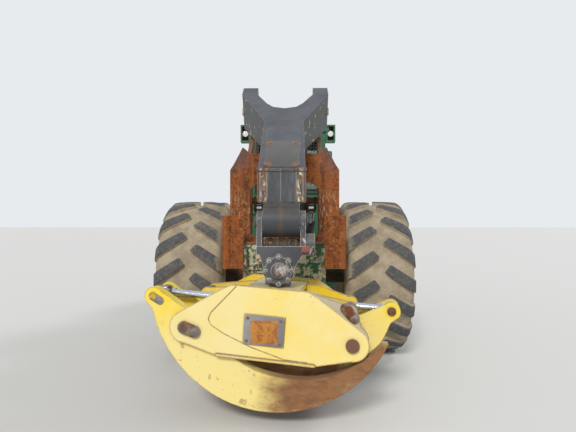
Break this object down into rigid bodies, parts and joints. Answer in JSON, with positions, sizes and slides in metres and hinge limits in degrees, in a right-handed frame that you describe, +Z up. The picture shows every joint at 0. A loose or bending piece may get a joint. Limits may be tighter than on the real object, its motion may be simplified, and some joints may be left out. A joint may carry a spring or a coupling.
{
  "type": "grapple skidder",
  "caption": "Articulated forestry skidder on big lugged tyres, with a rear arch and boom carrying a rotating log grapple, and a front blade.",
  "frame": {"origin": "on the ground under the middle of the machine's box", "axes": "+X to the machine's right as seen from behind, +Y forward to the blade, +Z up"},
  "size_m": [2.889, 7.7395, 3.2303],
  "materials": {
    "green_paint": "worn green paint with dust",
    "rusty_steel": "heavy orange-brown rust",
    "dark_paint": "scuffed dark blue-grey paint",
    "chrome_rod": "polished rods",
    "cast_metal": "dirty castings",
    "dark_screen": "black bars",
    "cream_paint": "faded cream-yellow paint, chipped and rusty",
    "yellow_paint": "yellow paint worn to rust at the tips",
    "rim_paint": "dusty yellow paint",
    "tyre_rubber": "grey rubber with dried mud",
    "hose_rubber": "black hose",
    "seat_cover": "dark seat cover"
  },
  "bodies": {
    "rear_body": {"rear_frame": "green_paint", "rear_axle": "cast_metal", "log_deflectors": "rusty_steel"},
    "front_body": {"front_frame": "green_paint", "front_axle": "cast_metal", "engine_block": "cast_metal", "hood": "green_paint", "radiator_grille": "dark_screen", "exhaust_stack": "rusty_steel", "cab": "green_paint", "cab_roof": "green_paint", "seat": "seat_cover", "side_tanks": "green_paint", "steps": "green_paint"},
    "door_left": {"door_left": "green_paint"},
    "door_right": {"door_right": "green_paint"},
    "blade": {"blade": "green_paint"},
    "blade_barrels": {"blade_barrels": "dark_paint"},
    "blade_rods": {"blade_rods": "chrome_rod"},
    "steer_barrel_left": {"steer_barrel_left": "dark_paint"},
    "steer_barrel_right": {"steer_barrel_right": "dark_paint"},
    "steer_rod_left": {"steer_rod_left": "chrome_rod"},
    "steer_rod_right": {"steer_rod_right": "chrome_rod"},
    "arch": {"arch": "rusty_steel"},
    "arch_barrels": {"arch_barrels": "dark_paint"},
    "arch_rods": {"arch_rods": "chrome_rod"},
    "boom": {"boom": "dark_paint"},
    "boom_barrels": {"boom_barrels": "dark_paint"},
    "boom_rods": {"boom_rods": "chrome_rod"},
    "crosshead": {"crosshead": "dark_paint", "hanger_hoses": "hose_rubber"},
    "swing_head": {"swing_head": "dark_paint"},
    "grapple_frame": {"grapple_frame": "cream_paint"},
    "tong_left": {"tong_left": "yellow_paint"},
    "tong_right": {"tong_right": "yellow_paint"},
    "tong_barrel_left": {"tong_barrel_left": "dark_paint"},
    "tong_barrel_right": {"tong_barrel_right": "dark_paint"},
    "tong_rod_left": {"tong_rod_left": "chrome_rod"},
    "tong_rod_right": {"tong_rod_right": "chrome_rod"},
    "wheel_rear_left": {"rim_rear_left": "rim_paint", "tyre_rear_left": "tyre_rubber"},
    "wheel_rear_right": {"rim_rear_right": "rim_paint", "tyre_rear_right": "tyre_rubber"},
    "wheel_front_left": {"rim_front_left": "rim_paint", "tyre_front_left": "tyre_rubber"},
    "wheel_front_right": {"rim_front_right": "rim_paint", "tyre_front_right": "tyre_rubber"}
  },
  "joints": [
    {"name": "steering", "type": "hinge", "parent": "rear_body", "child": "front_body", "pos_m": [0, 0.3085, 0.9], "axis": [0, 0, 1], "range_deg": [-45, 45]},
    {"name": "wheel_rear_left_spin", "type": "hinge", "parent": "rear_body", "child": "wheel_rear_left", "pos_m": [-1.057, -1.4415, 0.915], "axis": [1, 0, 0], "continuous": true},
    {"name": "wheel_front_left_spin", "type": "hinge", "parent": "front_body", "child": "wheel_front_left", "pos_m": [-1.057, 2.0585, 0.915], "axis": [1, 0, 0], "continuous": true},
    {"name": "wheel_rear_right_spin", "type": "hinge", "parent": "rear_body", "child": "wheel_rear_right", "pos_m": [1.057, -1.4415, 0.915], "axis": [1, 0, 0], "continuous": true},
    {"name": "wheel_front_right_spin", "type": "hinge", "parent": "front_body", "child": "wheel_front_right", "pos_m": [1.057, 2.0585, 0.915], "axis": [1, 0, 0], "continuous": true},
    {"name": "steer_right_swing", "type": "hinge", "parent": "rear_body", "child": "steer_barrel_right", "pos_m": [0.4, -0.4915, 0.9], "axis": [0, 0, 1], "range_deg": [-3.79, 3.79]},
    {"name": "steer_right_stroke", "type": "slide", "parent": "steer_barrel_right", "child": "steer_rod_right", "axis": [-0.1067, 0.9943, 0], "range_m": [-0.2305, 0.2305]},
    {"name": "steer_left_swing", "type": "hinge", "parent": "rear_body", "child": "steer_barrel_left", "pos_m": [-0.4, -0.4915, 0.9], "axis": [0, 0, 1], "range_deg": [-3.79, 3.79]},
    {"name": "steer_left_stroke", "type": "slide", "parent": "steer_barrel_left", "child": "steer_rod_left", "axis": [0.1067, 0.9943, 0], "range_m": [-0.2305, 0.2305]},
    {"name": "arch_tilt", "type": "hinge", "parent": "rear_body", "child": "arch", "pos_m": [0, -2.0015, 1.06], "axis": [1, 0, 0], "range_deg": [-25, 20]},
    {"name": "arch_cylinder_swing", "type": "hinge", "parent": "rear_body", "child": "arch_barrels", "pos_m": [0, -0.7415, 1.26], "axis": [1, 0, 0], "range_deg": [-0.71, 0.73]},
    {"name": "arch_cylinder_stroke", "type": "slide", "parent": "arch_barrels", "child": "arch_rods", "axis": [0, -0.8997, 0.4365], "range_m": [-0.3164, 0.2539]},
    {"name": "boom_lift", "type": "hinge", "parent": "arch", "child": "boom", "pos_m": [0, -1.6215, 2.93], "axis": [-1, 0, 0], "range_deg": [0, 50]},
    {"name": "boom_cylinder_swing", "type": "hinge", "parent": "arch", "child": "boom_barrels", "pos_m": [0, -1.8215, 1.4], "axis": [1, 0, 0], "range_deg": [-0.6, 1.72]},
    {"name": "boom_cylinder_stroke", "type": "slide", "parent": "boom_barrels", "child": "boom_rods", "axis": [0, -0.1939, 0.981], "range_m": [-0.004, 0.4792]},
    {"name": "crosshead_swing", "type": "hinge", "parent": "boom", "child": "crosshead", "pos_m": [0, -3.3715, 1.6], "axis": [-1, 0, 0], "range_deg": [0, 45]},
    {"name": "side_swing", "type": "hinge", "parent": "crosshead", "child": "swing_head", "pos_m": [-0.02, -3.3715, 1.205], "axis": [0, 1, 0], "range_deg": [-25, 20]},
    {"name": "rotator", "type": "hinge", "parent": "swing_head", "child": "grapple_frame", "pos_m": [-0.03221, -3.3715, 1.03043], "axis": [0.0698, 0, 0.9976], "continuous": true},
    {"name": "tong_left_open", "type": "hinge", "parent": "grapple_frame", "child": "tong_left", "pos_m": [-0.70779, -3.27937, 0.76691], "axis": [0.1388, 0.9903, -0.0097], "range_deg": [0, 105]},
    {"name": "tong_right_open", "type": "hinge", "parent": "grapple_frame", "child": "tong_right", "pos_m": [0.60013, -3.46363, 0.67545], "axis": [-0.1388, -0.9903, 0.0097], "range_deg": [0, 105]},
    {"name": "tong_cylinder_left_swing", "type": "hinge", "parent": "grapple_frame", "child": "tong_barrel_left", "pos_m": [0.55905, -3.55681, 0.88382], "axis": [-0.1388, -0.9903, 0.0097], "range_deg": [-2.05, 0.6]},
    {"name": "tong_cylinder_left_stroke", "type": "slide", "parent": "tong_barrel_left", "child": "tong_rod_left", "axis": [-0.9876, 0.1392, 0.0722], "range_m": [-0.5816, 0.004]},
    {"name": "tong_cylinder_right_swing", "type": "hinge", "parent": "grapple_frame", "child": "tong_barrel_right", "pos_m": [-0.63812, -3.18619, 0.96754], "axis": [0.1388, 0.9903, -0.0097], "range_deg": [-2.05, 0.6]},
    {"name": "tong_cylinder_right_stroke", "type": "slide", "parent": "tong_barrel_right", "child": "tong_rod_right", "axis": [0.9881, -0.1392, -0.0659], "range_m": [-0.5816, 0.004]},
    {"name": "blade_lift", "type": "hinge", "parent": "front_body", "child": "blade", "pos_m": [0, 2.9085, 0.64], "axis": [1, 0, 0], "range_deg": [-20, 8]},
    {"name": "blade_cylinder_swing", "type": "hinge", "parent": "front_body", "child": "blade_barrels", "pos_m": [0, 3.5685, 1.33], "axis": [1, 0, 0], "range_deg": [-3.31, 1.69]},
    {"name": "blade_cylinder_stroke", "type": "slide", "parent": "blade_barrels", "child": "blade_rods", "axis": [0, 0.1104, -0.9939], "range_m": [-0.1045, 0.2553]},
    {"name": "door_left_swing", "type": "hinge", "parent": "front_body", "child": "door_left", "pos_m": [-0.652, 1.2015, 2.1], "axis": [0, 0, -1], "range_deg": [0, 80]},
    {"name": "door_right_swing", "type": "hinge", "parent": "front_body", "child": "door_right", "pos_m": [0.652, 1.2015, 2.1], "axis": [0, 0, 1], "range_deg": [0, 80]}
  ],
  "couplings": [
    {"joint": "steer_right_swing", "follows": "steering", "ratio": 0.070796},
    {"joint": "steer_right_stroke", "follows": "steering", "m_per_rad": 0.28835},
    {"joint": "steer_left_swing", "follows": "steering", "ratio": 0.070796},
    {"joint": "steer_left_stroke", "follows": "steering", "m_per_rad": -0.28835},
    {"joint": "arch_cylinder_swing", "follows": "arch_tilt", "ratio": -0.00533},
    {"joint": "arch_cylinder_stroke", "follows": "arch_tilt", "m_per_rad": 0.7159},
    {"joint": "boom_cylinder_swing", "follows": "boom_lift", "ratio": 0.022478},
    {"joint": "boom_cylinder_stroke", "follows": "boom_lift", "m_per_rad": 0.54458},
    {"joint": "tong_cylinder_left_swing", "follows": "tong_left_open", "ratio": -0.013786},
    {"joint": "tong_cylinder_left_stroke", "follows": "tong_left_open", "m_per_rad": -0.31517},
    {"joint": "tong_cylinder_right_swing", "follows": "tong_right_open", "ratio": -0.013786},
    {"joint": "tong_cylinder_right_stroke", "follows": "tong_right_open", "m_per_rad": -0.31517},
    {"joint": "blade_cylinder_swing", "follows": "blade_lift", "ratio": 0.13559},
    {"joint": "blade_cylinder_stroke", "follows": "blade_lift", "m_per_rad": -0.71984}
  ]
}
